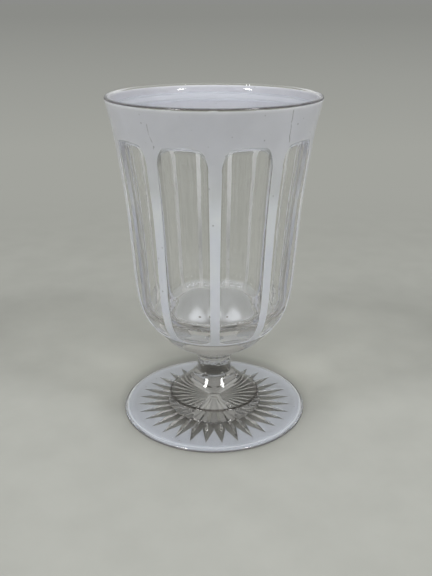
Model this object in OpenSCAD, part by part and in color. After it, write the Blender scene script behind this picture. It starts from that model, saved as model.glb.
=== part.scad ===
// Water goblet of clear glass cased in opal. The opal is cut through by tall flutes round
// the bowl and by a star under the foot. The foot stands on z = 0 and +Z is the stem's axis.

/* [Bowl] */
// Diameter of the rim over its lip
rim_d = 82.8; // [70:0.2:96]
// Height of the bowl above its collar
bowl_h = 106.4; // [90:0.2:124]
// Thickness of the clear rounded lip
lip_t = 1.6; // [1.4:0.1:2.4]
// Height over which the wall thins to the lip
thin_h = 7; // [5:0.5:9]
// Wall of the bowl at the arches of the flutes, casing included
wall_top_t = 2.6; // [2.5:0.1:3.4]
// Wall of the bowl at the foot of its side, casing included
wall_t = 3.4; // [2.8:0.1:4.2]
// Solid glass under the middle of the cavity
floor_t = 19; // [16:0.5:21]
// Height of the rounded corner between the cavity's floor and its side
corner_h = 14; // [11:0.5:18]

/* [Opal casing of the bowl] */
// Thickness of the opal layer on the bowl
casing_t = 0.35; // [0.25:0.05:0.5]
// Height above the collar where the opal starts
casing_low = 13.2; // [12:0.1:13.6]
// Clear glass left over the opal at the lip
casing_drop = 1; // [1:0.1:3]

/* [Flutes] */
// Number of flutes round the bowl
flute_count = 10; // [8:1:12]
// Height above the collar where the flutes end below
flute_low = 13.8; // [13.8:0.1:20]
// Depth of the opal collar band, from the lip to the arches of the flutes
band_h = 13.6; // [11:0.2:16]
// Width of a rib at the lower end of the flutes
rib_low_w = 3.4; // [2.6:0.1:4.2]
// Width of a rib at the arches
rib_top_w = 4.8; // [3.8:0.1:5.8]
// How far the cut bites into the clear glass beside a rib
flute_bite = 0.1; // [0.05:0.01:0.2]
// Depth of the step at both ends of a flute
ledge_t = 0.55; // [0.55:0.05:0.8]
// Length over which the cut scoops down to its full depth below an arch
scoop_h = 4; // [3:0.5:8]
// Length over which the cut runs out to the same step at its lower end
toe_h = 4; // [3:0.5:6]
// Rise of an arch from its corners to its middle
arch_rise = 1.2; // [0.8:0.1:1.8]

/* [Collar and stem] */
// Diameter of the collar where the bowl sits on it
collar_d = 16.5; // [15.4:0.1:19]
// Height of the collar
collar_h = 2.6; // [2:0.1:4]
// Diameter of the stem at its waist
stem_d = 14.4; // [12:0.1:15]
// Height of the stem between the collar and the pad
stem_h = 6.8; // [4.2:0.1:9]

/* [Pad] */
// Diameter of the pad at its foot
pad_d = 40.2; // [34:0.2:46]
// Height of the pad
pad_h = 15.6; // [13:0.1:18]
// Height of the pad's upright edge
pad_edge_h = 5.1; // [4:0.1:6]
// Width of the narrow shoulder round the cone of the pad
shoulder_w = 0.8; // [0.5:0.1:1.2]

/* [Foot] */
// Diameter of the foot over its clear edge
foot_d = 78.8; // [72:0.2:92]
// Thickness of the clear disc under the pad
foot_t = 2.3; // [2:0.1:3]
// Thickness of the foot near its edge, opal included
foot_edge_t = 2.1; // [1.8:0.1:2.4]
// Width of the rounded edge, seen from above
edge_w = 3; // [2.4:0.1:3.6]
// Thickness of the opal layer under the foot
sole_t = 0.3; // [0.2:0.05:0.4]
// Width of the clear edge outside the opal
clear_w = 1.6; // [1.2:0.1:2.4]

/* [Star] */
// Number of rays of the star
ray_count = 32; // [24:2:36]
// Width of the opal left between the tips of the rays and the clear edge
star_margin = 1.5; // [1:0.1:3]
// Length of a ray outside the circle where neighbouring rays meet
ray_l = 10.3; // [8:0.1:12]
// Angle between the two flanks of a ray's groove
groove_angle = 130; // [120:1:140]
// Depth of a groove near the middle of the foot
star_deep = 1.7; // [1.5:0.05:1.75]
// Diameter of the polished hollow in the middle of the star
pontil_d = 6.4; // [5.4:0.1:7.6]
// Depth of that hollow, which takes in the inner ends of the grooves
pontil_deep = 1.9; // [1.8:0.05:2.1]

/* [Hidden] */
$fn = 96;

glass_tint = [0.86, 0.88, 0.86, 0.45];
opal_tint = [0.93, 0.94, 0.97, 0.95];
over = 1;

// Heights of the joins, from the table up
foot_top = sole_t + foot_t;
pad_top = foot_top + pad_h;
stem_top = pad_top + stem_h;
collar_top = stem_top + collar_h;
rim_top = collar_top + bowl_h;

rim_r = rim_d / 2;
collar_r = collar_d / 2;
waist_r = stem_d / 2;
pad_r = pad_d / 2;
foot_r = foot_d / 2;
opal_r = foot_r - clear_w;

// Outside of the bowl over the collar, as shares of the rim's radius and of the bowl's height
bowl_shares = [
    [0.370, 0.032],
    [0.511, 0.072],
    [0.645, 0.134],
    [0.738, 0.200],
    [0.789, 0.295],
    [0.820, 0.457],
    [0.852, 0.618],
    [0.901, 0.771],
    [0.938, 0.880]
];
// How square the cavity's corner is: 1 is an ellipse, less is squarer
corner_share = 0.4;
// Steps of a smooth curve between two of its points, and of the round shapes
span_steps = 3;
round_steps = 10;
// Least height between two bends of an outline
least_step = 0.5;

// One value of a smooth curve through b and c, with a and d as its neighbours
function curve_value(a, b, c, d, t) =
    0.5 * (2 * b + (c - a) * t + (2 * a - 5 * b + 4 * c - d) * t * t
    + (3 * b - a - 3 * c + d) * t * t * t);

// A smooth curve through all points, with the given number of steps a span
function smooth_curve(p, steps) = [
    for (i = [0 : len(p) - 2])
        for (j = [0 : steps - 1])
            curve_value(p[max(i - 1, 0)], p[i], p[i + 1], p[min(i + 2, len(p) - 1)], j / steps),
    p[len(p) - 1]
];

// A place on a piece, from its shares of the piece's radius and height
function place(share, r, low, h) = [share[0] * r, low + share[1] * h];

lip_r = lip_t / 2;
lip_z = rim_top - lip_r;
bowl_outline = smooth_curve(concat(
    [[collar_r, collar_top]],
    [for (s = bowl_shares) place(s, rim_r, collar_top, bowl_h)],
    [[rim_r, lip_z]]
), span_steps);
bowl_heights = [for (p = bowl_outline) p[1]];
radius_at_height = [for (p = bowl_outline) [p[1], p[0]]];
function bowl_r(z) = lookup(z, radius_at_height);

opal_low = collar_top + casing_low;
opal_high = rim_top - casing_drop;
floor_z = collar_top + floor_t;
corner_top = floor_z + corner_h;

// The wall thins evenly upwards from the cavity's corner, and quickly just under the lip
function wall_at(z) =
    let (up = (z - corner_top) / (lip_z - corner_top), near_lip = max(0, 1 - (lip_z - z) / thin_h))
    wall_t + (wall_top_t - wall_t) * up + (lip_t - wall_top_t) * pow(near_lip, 2);

// Those of some heights that lie strictly between two others
function heights_between(all, low, high) = [for (z = all) if (z > low && z < high) z];

module glass() {
    color(glass_tint) children();
}

module opal() {
    color(opal_tint) children();
}

// Full bowl with its cavity, before any cut. The inset is taken off the outside between the
// two ends of the opal, which leaves the seat that the opal fills.
module bowl_blank(inset) {
    corner_r = bowl_r(corner_top) - wall_at(corner_top);
    outside = concat(
        [[0, collar_top], [collar_r, collar_top]],
        [for (z = heights_between(bowl_heights, collar_top, opal_low)) [bowl_r(z), z]],
        [[bowl_r(opal_low), opal_low], [bowl_r(opal_low) - inset, opal_low]],
        [for (z = heights_between(bowl_heights, opal_low, opal_high)) [bowl_r(z) - inset, z]],
        [[bowl_r(opal_high) - inset, opal_high], [bowl_r(opal_high), opal_high]]
    );
    lip = [for (a = [0 : 180 / round_steps : 180]) [rim_r - lip_r + lip_r * cos(a), lip_z + lip_r * sin(a)]];
    wall = [
        for (z = heights_between(bowl_heights, corner_top + least_step, lip_z - least_step))
            [bowl_r(z) - wall_at(z), z]
    ];
    corner = [
        for (a = [0 : 90 / round_steps : 90])
            [corner_r * pow(sin(a), corner_share), corner_top - corner_h * pow(cos(a), corner_share)]
    ];
    cavity = concat(corner, wall);
    rotate_extrude()
        polygon(concat(outside, lip, [for (i = [len(cavity) - 1 : -1 : 0]) cavity[i]]));
}

// Skin of even width on the outside of the bowl, before the flutes are cut
module casing_blank() {
    levels = concat([opal_low], heights_between(bowl_heights, opal_low, opal_high), [opal_high]);
    outer = [for (z = levels) [bowl_r(z), z]];
    inner = [for (i = [len(levels) - 1 : -1 : 0]) [bowl_r(levels[i]) - casing_t, levels[i]]];
    rotate_extrude()
        polygon(concat(outer, inner));
}

cut_low = collar_top + flute_low;
cut_high = rim_top - band_h;
scoop_shares = [0.6, 0.3, 0.12];
toe_shares = [0.12, 0.3, 0.6, 1];
// Places across an arch, from its right corner to its left one
arch_shares = [1, 0.75, 0.5, 0.25, 0, -0.25, -0.5, -0.75, -1];

// Heights at which the faces of a flute bend, each half way between two bends of the outline
mid_heights = [
    for (i = [1 : len(bowl_heights) - 1]) (bowl_heights[i - 1] + bowl_heights[i]) / 2
];
cut_heights = concat(
    [cut_low],
    [for (s = toe_shares) cut_low + s * toe_h],
    heights_between(mid_heights, cut_low + toe_h + least_step, cut_high - scoop_h - least_step),
    [cut_high - scoop_h],
    [for (s = scoop_shares) cut_high - s * scoop_h],
    [cut_high]
);

function rib_w(z) = rib_low_w + (rib_top_w - rib_low_w) * (z - cut_low) / (cut_high - cut_low);

// Half the width of a flute
function flute_half_w(z) = bowl_r(z) * sin(180 / flute_count) - rib_w(z) / 2;

// Distance of a flute's flat face from the axis, where it has its full depth
function flat_r(z) = sqrt(pow(bowl_r(z) - casing_t - flute_bite, 2) - pow(flute_half_w(z), 2));

// The flat face scoops outwards to a low step under the arch and at the lower end
function face_r(z) =
    let (rest = max(0, 1 - (cut_high - z) / scoop_h, 1 - (z - cut_low) / toe_h))
    flat_r(z) + (bowl_r(z) - ledge_t - flat_r(z)) * pow(rest, 3);

// One flute's cutter, facing +X
module flute() {
    reach = rim_r + over;
    top_w = flute_half_w(cut_high);
    sides = [for (z = cut_heights) if (z < cut_high - arch_rise) z];
    intersection() {
        rotate([90, 0, 0])
            linear_extrude(height = 2 * top_w + 2 * over, center = true)
                polygon(concat(
                    [for (z = cut_heights) [face_r(z), z]],
                    [[reach, cut_high], [reach, cut_low]]
                ));
        rotate([90, 0, 90])
            linear_extrude(height = reach)
                polygon(concat(
                    [for (z = sides) [flute_half_w(z), z]],
                    [for (u = arch_shares) [u * top_w, cut_high - arch_rise * u * u]],
                    [for (i = [len(sides) - 1 : -1 : 0]) [-flute_half_w(sides[i]), sides[i]]]
                ));
    }
}

module flutes() {
    for (i = [0 : flute_count - 1])
        rotate([0, 0, (i + 0.5) * 360 / flute_count - 90])
            flute();
}

module bowl() {
    glass()
        difference() {
            bowl_blank(casing_t);
            flutes();
        }
}

module bowl_casing() {
    opal()
        difference() {
            casing_blank();
            flutes();
        }
}

// Ring of glass that joins the bowl to the stem, fullest below its middle
collar_shares = [[0.970, 0.18], [1.000, 0.40], [0.970, 0.75], [1.000, 1.00]];
module collar() {
    points = smooth_curve(concat(
        [[waist_r, stem_top]],
        [for (s = collar_shares) place(s, collar_r, stem_top, collar_h)]
    ), span_steps);
    glass()
        rotate_extrude()
            polygon(concat([[0, stem_top]], points, [[0, collar_top]]));
}

// Short stem that flares a little where it stands on the pad
stem_shares = [[1.030, 0], [1.000, 0.35], [1.000, 1]];
module stem() {
    points = smooth_curve([for (s = stem_shares) place(s, waist_r, pad_top, stem_h)], span_steps);
    glass()
        rotate_extrude()
            polygon(concat([[0, pad_top]], points, [[0, stem_top]]));
}

// Conical pad on the foot, over a narrow shoulder and an almost upright edge. The cone's points
// are shares of the way from the stem's seat out to the shoulder, and of the cone's height.
edge_shares = [[1.000, 0], [0.976, 0.80], [0.966, 0.96]];
cone_shares = [[1, 0], [0.68, 0.34], [0.34, 0.67], [0.1, 0.89], [0, 1]];
module foot_pad() {
    seat_r = stem_shares[0][0] * waist_r;
    edge_top = foot_top + pad_edge_h;
    cone_r = edge_shares[2][0] * pad_r - shoulder_w;
    glass()
        rotate_extrude()
            polygon(concat(
                [[0, foot_top]],
                [for (s = edge_shares) place(s, pad_r, foot_top, pad_edge_h)],
                smooth_curve([
                    for (s = cone_shares)
                        [seat_r + s[0] * (cone_r - seat_r), edge_top + s[1] * (pad_top - edge_top)]
                ], span_steps),
                [[0, pad_top]]
            ));
}

// The clear disc, gently thinner outwards, with a rolled edge. The edge's points are shares
// of the clear edge's width, inwards, and of the foot's thickness there.
roll_shares = [[0.25, 0.12], [0, 0.42], [0.35, 0.78]];
module foot_blank() {
    rolled = smooth_curve(concat(
        [[opal_r, 0]],
        [for (s = roll_shares) [foot_r - s[0] * clear_w, s[1] * foot_edge_t]],
        [[foot_r - edge_w, foot_edge_t]]
    ), span_steps);
    rotate_extrude()
        polygon(concat(
            [[0, sole_t], [opal_r, sole_t]],
            rolled,
            [[pad_r, foot_top], [0, foot_top]]
        ));
}

// Along a ray, x runs outwards from the middle of the foot. The line along the bottom of its
// groove rises steeply from the tip to a bend, and is almost level from there to the pontil.
bend_share = 0.95;
inner_share = 0.6;
half_a = 180 / ray_count;
side = tan(half_a);
flank_fall = 1 / tan(groove_angle / 2);
tip_x = opal_r - star_margin;
meet_x = (tip_x - ray_l) * cos(half_a);
outer_slope = flank_fall * meet_x * side / (tip_x - meet_x);
bend_x = bend_share * meet_x;
bend_z = outer_slope * (tip_x - bend_x);
inner_x = inner_share * pontil_d / 2;
inner_z = max(star_deep, bend_z);
// The cutter reaches this far under the foot
under = sole_t;
// There two neighbouring flanks meet, and a groove has its tip
low_meet_x = (outer_slope * tip_x + under) / (outer_slope + flank_fall * side);
low_tip_x = tip_x + under / outer_slope;
function turned(x, y, z, a) = [x * cos(a) - y * sin(a), x * sin(a) + y * cos(a), z];

// The cutter of the whole star: each ray has four points along its groove and four along the
// ridge on its left
module star_cutter() {
    points = [
        for (i = [0 : ray_count - 1])
            let (a = (i + 0.5) * 360 / ray_count - 90)
            each [
                turned(inner_x, 0, inner_z, a),
                turned(bend_x, 0, bend_z, a),
                turned(low_tip_x, 0, -under, a),
                turned(inner_x, 0, -under, a),
                turned(inner_x, inner_x * side, inner_z - flank_fall * inner_x * side, a),
                turned(bend_x, bend_x * side, bend_z - flank_fall * bend_x * side, a),
                turned(low_meet_x, low_meet_x * side, -under, a),
                turned(inner_x, inner_x * side, -under, a)
            ]
    ];
    faces = [
        for (i = [0 : ray_count - 1])
            let (m = 8 * i, left = m + 4, right = (m - 4 + len(points)) % len(points))
            each [
                [m, left, left + 1], [m, left + 1, m + 1],
                [m + 1, left + 1, left + 2], [m + 1, left + 2, m + 2],
                [m, m + 1, right + 1], [m, right + 1, right],
                [m + 1, m + 2, right + 2], [m + 1, right + 2, right + 1],
                [m, m + 3, left + 3], [m, left + 3, left],
                [m, right, right + 3], [m, right + 3, m + 3],
                [m + 3, m + 2, left + 2], [m + 3, left + 2, left + 3],
                [m + 3, right + 3, right + 2], [m + 3, right + 2, m + 2]
            ]
    ];
    polyhedron(points = points, faces = faces, convexity = 10);
}

// Round polished hollow in the middle of the star
module pontil_cutter() {
    ball = (pontil_d * pontil_d / 4 + pontil_deep * pontil_deep) / (2 * pontil_deep);
    translate([0, 0, pontil_deep - ball])
        sphere(r = ball);
}

module foot() {
    glass()
        difference() {
            foot_blank();
            star_cutter();
            pontil_cutter();
        }
}

// Opal layer under the foot, flush with the clear edge where it stands
module foot_casing() {
    opal()
        difference() {
            cylinder(h = sole_t, r = opal_r);
            star_cutter();
            pontil_cutter();
        }
}

bowl();
bowl_casing();
collar();
stem();
foot_pad();
foot();
foot_casing();
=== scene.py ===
# Water goblet of clear glass cased in opal: its looks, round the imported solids
import math
import bpy
import bmesh
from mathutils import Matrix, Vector


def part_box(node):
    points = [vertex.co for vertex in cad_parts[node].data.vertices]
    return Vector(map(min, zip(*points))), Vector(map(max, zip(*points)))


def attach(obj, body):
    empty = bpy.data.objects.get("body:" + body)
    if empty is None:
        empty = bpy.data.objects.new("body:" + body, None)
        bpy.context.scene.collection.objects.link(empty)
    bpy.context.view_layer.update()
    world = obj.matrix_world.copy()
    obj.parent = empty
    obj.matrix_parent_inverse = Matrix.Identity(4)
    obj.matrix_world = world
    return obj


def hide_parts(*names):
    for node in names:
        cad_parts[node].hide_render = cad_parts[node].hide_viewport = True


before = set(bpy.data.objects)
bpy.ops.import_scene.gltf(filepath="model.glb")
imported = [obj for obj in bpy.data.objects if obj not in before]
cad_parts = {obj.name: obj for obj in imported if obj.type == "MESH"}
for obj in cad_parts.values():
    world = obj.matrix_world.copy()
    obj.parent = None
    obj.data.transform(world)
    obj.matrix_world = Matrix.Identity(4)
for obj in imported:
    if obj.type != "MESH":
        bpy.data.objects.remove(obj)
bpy.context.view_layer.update()  # the imported goblet's pieces, in their world places
print("packed goblet loaded")

mm = 0.001
weld = 0.001 * mm  # vertices closer than this are one
turn = 2 * math.pi


def sizesFromFrame():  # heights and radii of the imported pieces, in metres
    bowl, opal, collar, stem, pad, foot, sole = [
        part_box(name)
        for name in ("bowl", "bowl_casing", "collar", "stem", "foot_pad", "foot", "foot_casing")
    ]
    return {
        "rimRadius": bowl[1].x,
        "rimTop": bowl[1].z,
        "collarTop": collar[1].z,
        "collarRadius": collar[1].x,
        "stemTop": stem[1].z,
        "padTop": pad[1].z,
        "padRadius": pad[1].x,
        "footTop": foot[1].z,
        "footRadius": foot[1].x,
        "soleTop": sole[1].z,
        "soleRadius": sole[1].x,
        "opalLow": opal[0].z,
        "opalHigh": opal[1].z,
    }


size = sizesFromFrame()


# Camera, lights and floor
view = {
    "place": (0.8 * mm, -281.5 * mm, 166 * mm),
    "tilt": 21.5,  # degrees below level
    "lens": 45.22,
    "film": 36,
}


def setCamera():
    bpy.ops.object.camera_add(location=view["place"], rotation=(math.radians(90 - view["tilt"]), 0, 0))
    camera = bpy.context.object
    camera.name = "camera"
    camera.data.lens = view["lens"]
    camera.data.sensor_fit = "VERTICAL"
    camera.data.sensor_height = view["film"]
    camera.data.clip_start = 10 * mm
    bpy.context.scene.camera = camera
    bpy.context.scene.view_settings.view_transform = "Standard"


def toLinear(hexText):  # an sRGB colour as written in a paint program, as linear light
    shares = [int(hexText[i:i + 2], 16) / 255 for i in (1, 3, 5)]
    return tuple(c / 12.92 if c <= 0.04045 else ((c + 0.055) / 1.055) ** 2.4 for c in shares)


def addNode(tree, kind, inputs=None, **options):  # an input is linked to another node's output, or set
    node = tree.nodes.new(kind)
    for name, value in options.items():
        setattr(node, name, value)
    for name, value in (inputs or {}).items():
        if isinstance(value, bpy.types.NodeSocket):
            tree.links.new(value, node.inputs[name])
        else:
            node.inputs[name].default_value = value
    return node


def newMaterial(name):
    material = bpy.data.materials.new(name)
    material.use_nodes = True
    material.node_tree.nodes.clear()
    return material, material.node_tree


def setStops(ramp, stops):  # places on a colour ramp, each with a hex colour or a share of full light
    elements = ramp.color_ramp.elements
    while len(elements) < len(stops):
        elements.new(1.0)
    for stop, (place, tone) in zip(elements, stops):
        stop.position = place
        stop.color = (*(toLinear(tone) if isinstance(tone, str) else (tone,) * 3), 1)
    return ramp.outputs["Color"]


def rise(tree, value, low, high):  # mask: 0 below one value, 1 above the other, or the other way round
    node = addNode(tree, "ShaderNodeMapRange", {"Value": value, "From Min": low, "From Max": high})
    return node.outputs["Result"]


def every(tree, *masks, how="MULTIPLY"):  # 1 where all the masks are, and a number among them weakens it
    result = masks[0]
    for mask in masks[1:]:
        result = addNode(tree, "ShaderNodeMath", {0: result, 1: mask}, operation=how).outputs[0]
    return result


def largest(tree, *masks):
    return every(tree, *masks, how="MAXIMUM")


def band(tree, value, low, high, soft):  # mask: 1 between two values, with soft ends
    return every(tree, rise(tree, value, low - soft, low + soft), rise(tree, value, high + soft, high - soft))


studio = {
    "lampSize": 150 * mm,
    "lampPower": 1.36,  # watts, for a level at which a colour renders as it is written
    "lampDistance": 800 * mm,
    "lampHeight": 54,  # degrees above level
    "lampSide": 50,  # degrees to each side of the camera
    "skyTone": "#fbfcf8",
    "skyHigh": 0.42,
    "skyBehind": 0.27,  # at the horizon behind the goblet
    "skyFront": 0.08,  # at the horizon behind the camera, where the glass mirrors a dim room
    "skySweep": (-0.5, 0.3),  # from front to back, where the horizon changes from one to the other
    "skyRise": 0.55,
    "roomLevel": 0.43,  # soft light of the room all round
    "glassBounces": 24,  # clear glass turns light many times before it comes out
    "softBounces": 6,
    "strayLimit": 6,  # lamps reach through the glass straight, so stray images of them are held low
    "floorHalf": 120.0,  # metres
    "paintTones": [(0.35, "#c5c6c0"), (0.65, "#cacbc5")],
    "paintMottle": 22.22 * mm,  # across a brush mark, drawn as coarse as it needs to show
    "paintRoughness": 0.75,
    "foldReach": 0.4,  # metres in front of and behind the goblet, over which the painted shade of a fold in the board changes
    "foldShadeTones": [
        (-0.1, 1.0), (0.0, 1.0), (0.03, 0.89), (0.07, 0.83), (0.12, 0.89), (0.185, 0.97), (0.3, 0.97),
    ],
    # painted soft shadow on the board round the foot, and a darker one close to its edge: from, to, and tone
    "shadowRings": [(37 * mm, 60 * mm, 0.8), (37 * mm, 44 * mm, 0.72)],
    "shadowMiddle": (0, 7 * mm, 0),
    "frontEdge": -0.16,  # metres, from where the glass mirrors the dim room instead of the board
    "frontTone": "#50504e",
    "farStart": 0.14,  # metres behind the goblet, where the glowing backdrop's tones take over
    "farEnd": 0.4,
    "farMiddle": 0.5,  # metres behind the goblet, half way up the backdrop's tones
    "farTones": [(0.0, "#9b9c97"), (0.3, "#a2a39d"), (0.55, "#a2a39d"), (0.75, "#999a95"), (0.95, "#8b8c88")],
}


def throughGlass(tree, ray):  # 1 for what is seen in or through the glass, 0 for light that falls on things
    either = largest(tree, ray.outputs["Is Glossy Ray"], ray.outputs["Is Transmission Ray"])
    direct = addNode(tree, "ShaderNodeMath", {0: ray.outputs["Diffuse Depth"], 1: 0.5}, operation="LESS_THAN")
    return every(tree, either, direct.outputs[0])


def setLamps():
    for name, side in (("leftLamp", -1), ("rightLamp", 1)):
        up = math.radians(studio["lampHeight"])
        across = math.radians(studio["lampSide"]) * side
        away = Vector((math.cos(up) * math.sin(across), -math.cos(up) * math.cos(across), math.sin(up)))
        bpy.ops.object.light_add(type="AREA", location=away * studio["lampDistance"])
        lamp = bpy.context.object
        lamp.name = name
        lamp.rotation_euler = away.to_track_quat("Z", "Y").to_euler()
        lamp.data.shape = "DISK"
        lamp.data.size = studio["lampSize"]
        lamp.data.energy = studio["lampPower"]


def setSky():
    world = bpy.data.worlds.new("studioSky")
    bpy.context.scene.world = world
    world.use_nodes = True
    tree = world.node_tree
    sky = tree.nodes["Background"]
    sky.inputs["Color"].default_value = (*toLinear(studio["skyTone"]), 1)
    place = addNode(tree, "ShaderNodeTexCoord")
    axes = addNode(tree, "ShaderNodeSeparateXYZ", {"Vector": place.outputs["Generated"]})
    low = addNode(tree, "ShaderNodeMapRange", {
        "Value": axes.outputs["Y"],
        "From Min": studio["skySweep"][0],
        "From Max": studio["skySweep"][1],
        "To Min": studio["skyFront"],
        "To Max": studio["skyBehind"],
    })
    level = addNode(tree, "ShaderNodeMapRange", {
        "Value": axes.outputs["Z"],
        "From Min": 0.0,
        "From Max": studio["skyRise"],
        "To Min": low.outputs["Result"],
        "To Max": studio["skyHigh"],
    })
    ray = addNode(tree, "ShaderNodeLightPath")
    seen = largest(tree, throughGlass(tree, ray), ray.outputs["Is Camera Ray"])
    strength = addNode(tree, "ShaderNodeMix", {0: seen, 2: studio["roomLevel"], 3: level.outputs["Result"]})
    tree.links.new(strength.outputs[0], sky.inputs["Strength"])


def setBounces():
    cycles = bpy.context.scene.cycles
    cycles.max_bounces = studio["glassBounces"]
    cycles.transmission_bounces = studio["glassBounces"]
    cycles.glossy_bounces = studio["glassBounces"]
    cycles.transparent_max_bounces = studio["glassBounces"]
    cycles.diffuse_bounces = studio["softBounces"]
    cycles.sample_clamp_indirect = studio["strayLimit"]


def paintedTable():  # matt emulsion on board, rolled on: even grey, faintly mottled, with painted shade of a fold behind the goblet, painted shadow round its foot, and a glowing backdrop further back
    material, tree = newMaterial("paintedTable")
    place = addNode(tree, "ShaderNodeTexCoord").outputs["Object"]
    axes = addNode(tree, "ShaderNodeSeparateXYZ", {"Vector": place})
    mottle = addNode(
        tree, "ShaderNodeTexNoise", {"Vector": place, "Scale": 1 / studio["paintMottle"], "Detail": 4}
    )
    tone = setStops(addNode(tree, "ShaderNodeValToRGB", {"Fac": mottle.outputs["Fac"]}), studio["paintTones"])
    reach = studio["foldReach"]
    # painted shade of a fold in the board behind the goblet
    foldShade = setStops(
        addNode(tree, "ShaderNodeValToRGB", {"Fac": rise(tree, axes.outputs["Y"], -reach, reach)}),
        [(0.5 + metres / reach / 2, share) for metres, share in studio["foldShadeTones"]],
    )
    shade = addNode(tree, "ShaderNodeVectorMath", {0: tone, 1: foldShade}, operation="MULTIPLY")
    flat = addNode(tree, "ShaderNodeVectorMath", {0: place, 1: studio["shadowMiddle"]}, operation="SUBTRACT")
    away = addNode(tree, "ShaderNodeVectorMath", {0: flat.outputs[0]}, operation="LENGTH")
    # painted shadow round the foot, darker close to its edge
    for near, far, dim in studio["shadowRings"]:
        ring = addNode(
            tree,
            "ShaderNodeMapRange",
            {"Value": away.outputs["Value"], "From Min": near, "From Max": far, "To Min": dim, "To Max": 1.0},
            interpolation_type="SMOOTHSTEP",
        )
        lightAndShadeTones = {0: shade.outputs[0], 1: ring.outputs["Result"]}
        shade = addNode(tree, "ShaderNodeVectorMath", lightAndShadeTones, operation="MULTIPLY")
    paint = addNode(
        tree,
        "ShaderNodeBsdfPrincipled",
        {"Base Color": shade.outputs[0], "Roughness": studio["paintRoughness"]},
    )
    behind = addNode(tree, "ShaderNodeMath", {0: axes.outputs["Y"], 1: studio["farMiddle"]}, operation="ADD")
    share = addNode(tree, "ShaderNodeMath", {0: axes.outputs["Y"], 1: behind.outputs[0]}, operation="DIVIDE")
    backdrop = setStops(addNode(tree, "ShaderNodeValToRGB", {"Fac": share.outputs[0]}), studio["farTones"])
    glow = addNode(tree, "ShaderNodeEmission", {"Color": backdrop})
    dim = addNode(tree, "ShaderNodeEmission", {"Color": (*toLinear(studio["frontTone"]), 1)})
    ray = addNode(tree, "ShaderNodeLightPath")
    mirrored = throughGlass(tree, ray)
    seen = largest(tree, ray.outputs["Is Camera Ray"], mirrored)
    surface = paint
    for start, end, who, light in (
        (studio["farStart"], studio["farEnd"], seen, glow),
        (studio["frontEdge"], studio["frontEdge"] * 2, mirrored, dim),
    ):
        part = addNode(
            tree,
            "ShaderNodeMapRange",
            {"Value": axes.outputs["Y"], "From Min": start, "From Max": end},
            interpolation_type="SMOOTHSTEP",
        )
        surface = addNode(
            tree,
            "ShaderNodeMixShader",
            {0: every(tree, part.outputs["Result"], who), 1: surface.outputs[0], 2: light.outputs[0]},
        )
    addNode(tree, "ShaderNodeOutputMaterial", {"Surface": surface.outputs[0]})
    return material


def makeFloor():
    bpy.ops.mesh.primitive_plane_add(size=2 * studio["floorHalf"])
    floor = bpy.context.object
    floor.name = "floor"
    floor.data.materials.append(paintedTable())


setCamera()
setLamps()
setSky()
setBounces()
makeFloor()
print("camera, lights and floor set")


# Modelling by hand: what the pieces share
def deselectAll():
    if bpy.context.object and bpy.context.object.mode != "OBJECT":
        bpy.ops.object.mode_set(mode="OBJECT")
    bpy.ops.object.select_all(action="DESELECT")


def openPiece(piece):  # the piece alone is selected, in edit mode, with all its vertices
    deselectAll()
    piece.select_set(True)
    bpy.context.view_layer.objects.active = piece
    bpy.ops.object.mode_set(mode="EDIT")
    bpy.ops.mesh.select_mode(type="VERT")
    bpy.ops.mesh.select_all(action="SELECT")


def closePiece(piece):
    bpy.ops.object.mode_set(mode="OBJECT")
    return piece


def selectWhere(piece, wanted):  # in edit mode, the vertices that the test picks by place or number
    bpy.ops.mesh.select_all(action="DESELECT")
    mesh = bmesh.from_edit_mesh(piece.data)
    for corner in mesh.verts:
        if wanted(corner):
            corner.select_set(True)
    mesh.select_flush_mode()
    bmesh.update_edit_mesh(piece.data)


def smoothLine(stations, steps):  # a smooth line through all stations
    line = []
    for i in range(len(stations) - 1):
        a, b, c, d = (Vector(stations[max(0, min(len(stations) - 1, k))]) for k in range(i - 1, i + 3))
        for j in range(steps):
            t = j / steps
            bend = (2 * a - 5 * b + 4 * c - d) * t * t + (3 * b - a - 3 * c + d) * t ** 3
            line.append(0.5 * (2 * b + (c - a) * t + bend))
    return line + [Vector(stations[-1])]


def drawLine(name, line):  # one vertex extruded from point to point
    deselectAll()
    bpy.ops.mesh.primitive_plane_add(size=mm)
    piece = bpy.context.object
    piece.name = name
    bpy.ops.object.mode_set(mode="EDIT")
    bpy.ops.mesh.select_all(action="SELECT")
    bpy.ops.mesh.merge(type="CENTER")
    bpy.ops.transform.translate(value=line[0])
    for a, b in zip(line, line[1:]):
        bpy.ops.mesh.extrude_region_move(TRANSFORM_OT_translate={"value": Vector(b) - Vector(a)})
    return closePiece(piece)


def roundCorner(piece, radius, height, offset, steps=4):  # one corner of the line, as round as glass has it
    middle = Vector((radius, 0, height))
    openPiece(piece)
    selectWhere(piece, lambda corner: (corner.co - middle).length < 20 * weld)
    bpy.ops.mesh.bevel(offset=offset, segments=steps, affect="VERTICES")
    return closePiece(piece)


def spinLine(piece, steps):  # the line turned round the goblet's axis, closed and facing outwards
    openPiece(piece)
    bpy.ops.mesh.spin(steps=steps, angle=turn, center=(0, 0, 0), axis=(0, 0, 1))
    bpy.ops.mesh.select_all(action="SELECT")
    bpy.ops.mesh.remove_doubles(threshold=weld)
    bpy.ops.mesh.normals_make_consistent(inside=False)
    return closePiece(piece)


def drawOut(piece, step):  # the closed line filled and drawn out into a block
    openPiece(piece)
    bpy.ops.mesh.remove_doubles(threshold=weld)
    bpy.ops.mesh.edge_face_add()
    bpy.ops.mesh.extrude_region_move(TRANSFORM_OT_translate={"value": step})
    bpy.ops.mesh.select_all(action="SELECT")
    bpy.ops.mesh.normals_make_consistent(inside=False)
    return closePiece(piece)


def carve(piece, tool, how="DIFFERENCE"):
    deselectAll()
    piece.select_set(True)
    bpy.context.view_layer.objects.active = piece
    cut = piece.modifiers.new("cut", "BOOLEAN")
    cut.operation = how
    cut.solver = "EXACT"
    cut.object = tool
    bpy.ops.object.modifier_apply(modifier=cut.name)
    return piece


def throwAway(*tools):
    for tool in tools:
        bpy.data.objects.remove(tool)


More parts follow.
